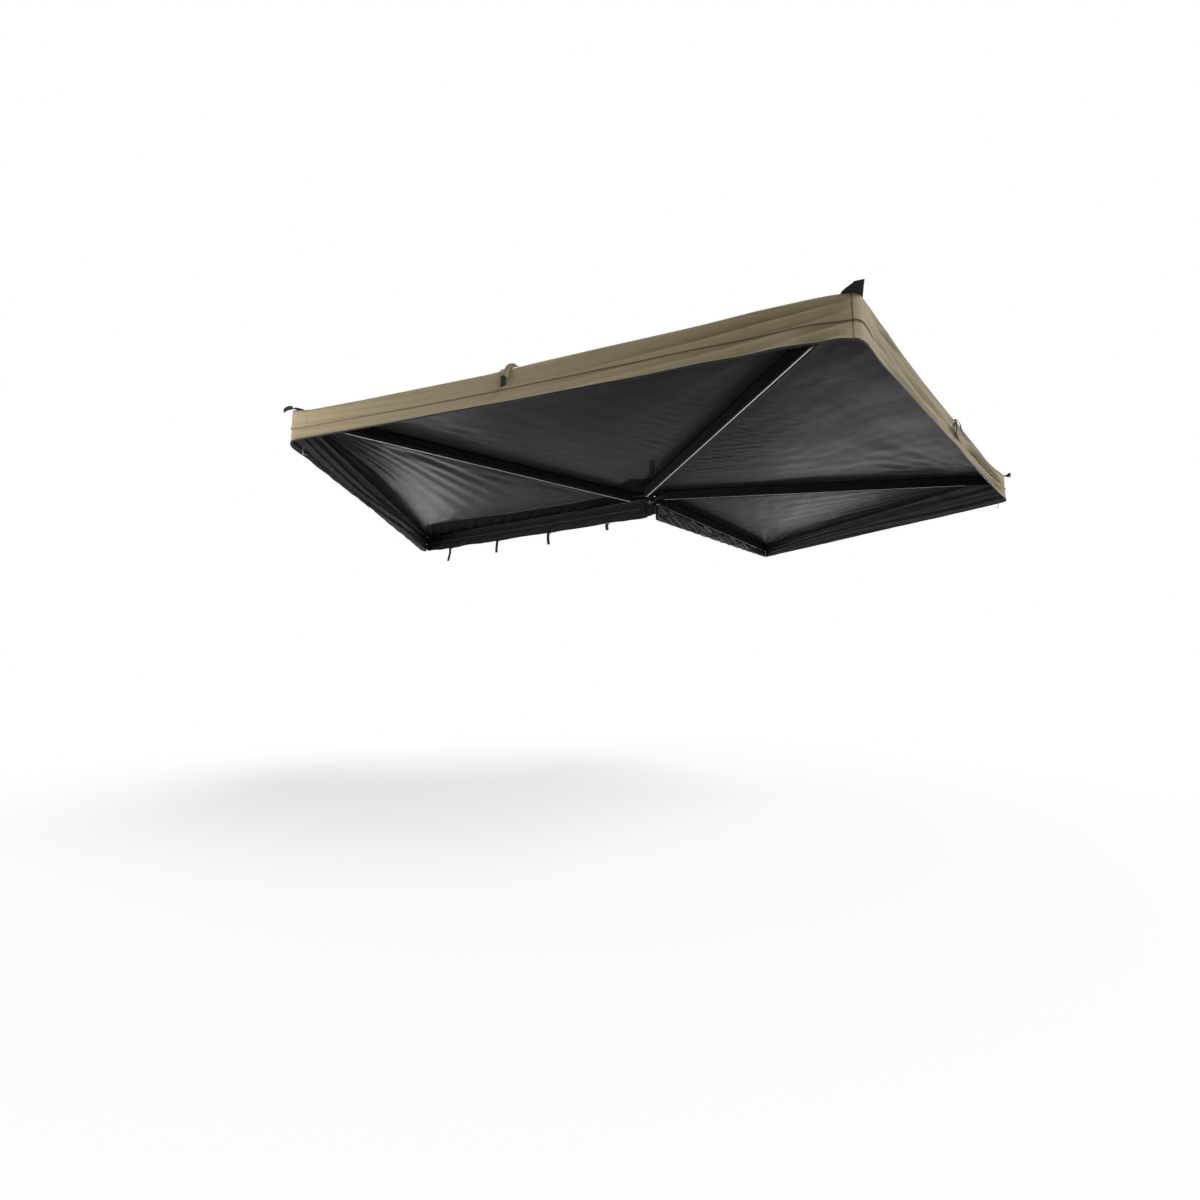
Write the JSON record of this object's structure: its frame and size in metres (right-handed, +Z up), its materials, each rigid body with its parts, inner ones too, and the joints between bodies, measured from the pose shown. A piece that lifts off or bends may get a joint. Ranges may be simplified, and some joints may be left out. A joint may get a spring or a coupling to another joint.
{
  "type": "vehicle side awning",
  "caption": "Fan-shaped vehicle side awning: swinging arms on a rear hub pin spread a dark-lined canopy with a hanging khaki border; rack brackets and a slack storage bag on its backbone.",
  "frame": {"origin": "centre of the middle bracket's foot, on its underside, between its two slots", "axes": "+Z up, -X towards the front of the vehicle along the backbone, -Y away from the vehicle's side; the hub pin stands at x 1.150, y -0.182"},
  "size_m": [4.2711, 4.0869, 0.2573],
  "materials": {
    "canvas": "khaki ripstop canvas, matt, coated",
    "lining": "dark grey coated lining with a soft sheen",
    "webbing": "black woven webbing and heavy black cloth",
    "bag": "black coated heavy cloth",
    "aluminium": "mill-finished, brushed lengthways",
    "black_metal": "black powder coat, fine orange peel",
    "steel": "zinc-plated",
    "plastic": "black moulded nylon"
  },
  "bodies": {
    "base": {"backbone": "black_metal", "backbone_end_cap": "plastic", "canopy_rail": "aluminium", "hub_plate_top": "black_metal", "hub_plate_bottom": "black_metal", "hub_pin": "steel", "hub_pin_nut": "steel", "hub_washer_1": "plastic", "hub_washer_2": "plastic", "hub_washer_3": "plastic", "hub_bolt_1": "steel", "hub_bolt_2": "steel", "bracket_front": "black_metal", "bracket_middle": "black_metal", "bracket_rear": "black_metal", "bracket_bolt_front": "steel", "bracket_bolt_middle": "steel", "bracket_bolt_rear": "steel", "storage_bag": "bag", "bag_strap_1": "webbing", "bag_strap_2": "webbing", "bag_strap_3": "webbing", "bag_strap_4": "webbing"},
    "arm_1": {"arm_1": "aluminium", "arm_1_knuckle": "black_metal", "arm_1_bolt": "steel", "arm_1_cap": "plastic", "arm_1_sleeve": "webbing", "canopy_panel_1": "lining", "valance_1": "canvas", "corner_tab_front": "webbing"},
    "arm_2": {"arm_2": "aluminium", "arm_2_knuckle": "black_metal", "arm_2_bolt": "steel", "arm_2_cap": "plastic", "arm_2_sleeve": "webbing", "canopy_panel_2": "lining", "valance_2": "canvas", "corner_tab_middle": "webbing", "mid_strap_outer": "webbing"},
    "arm_3": {"arm_3": "aluminium", "arm_3_knuckle": "black_metal", "arm_3_bolt": "steel", "arm_3_cap": "plastic", "arm_3_sleeve": "webbing", "canopy_panel_3": "lining", "valance_3": "canvas", "corner_tab_rear": "webbing", "mid_strap_rear": "webbing", "strap_ring": "steel"},
    "arm_4": {"arm_4": "aluminium", "arm_4_knuckle": "black_metal", "arm_4_bolt": "steel", "arm_4_cap": "plastic", "arm_4_sleeve": "webbing", "canopy_panel_4": "lining", "valance_4": "canvas", "edge_flap": "lining"},
    "hook_front": {"corner_hook_front": "steel"},
    "hook_rear": {"corner_hook_rear": "steel"}
  },
  "joints": [
    {"name": "arm_1_swing", "type": "hinge", "parent": "base", "child": "arm_1", "pos_m": [1.15, -0.1821, 0.0246], "axis": [0, 0, 1], "range_deg": [-70.29, 0], "deforming": ["canopy_panel_1", "valance_1"]},
    {"name": "arm_2_swing", "type": "hinge", "parent": "arm_1", "child": "arm_2", "pos_m": [1.15, -0.1821, 0.0246], "axis": [0, 0, 1], "range_deg": [-65.62, 0], "deforming": ["canopy_panel_2", "valance_2", "mid_strap_outer"]},
    {"name": "arm_3_swing", "type": "hinge", "parent": "arm_2", "child": "arm_3", "pos_m": [1.15, -0.1821, 0.0246], "axis": [0, 0, 1], "range_deg": [-66.71, 0], "deforming": ["canopy_panel_3", "valance_3", "mid_strap_rear", "strap_ring"]},
    {"name": "arm_4_swing", "type": "hinge", "parent": "arm_3", "child": "arm_4", "pos_m": [1.15, -0.1821, 0.0246], "axis": [0, 0, 1], "range_deg": [-62.41, 0], "deforming": ["canopy_panel_4", "valance_4"]},
    {"name": "hook_front_swing", "type": "hinge", "parent": "arm_1", "child": "hook_front", "pos_m": [0.3618, -2.12437, -0.0112], "axis": [0.9414, -0.3372, 0], "range_deg": [-15, 75]},
    {"name": "hook_rear_swing", "type": "hinge", "parent": "arm_3", "child": "hook_rear", "pos_m": [3.0945, 0.59627, -0.0112], "axis": [-0.3844, 0.9231, 0], "range_deg": [-15, 75]}
  ],
  "couplings": [
    {"joint": "arm_2_swing", "follows": "arm_1_swing", "ratio": 0.93344},
    {"joint": "arm_3_swing", "follows": "arm_1_swing", "ratio": 0.94901},
    {"joint": "arm_4_swing", "follows": "arm_1_swing", "ratio": 0.88781}
  ]
}
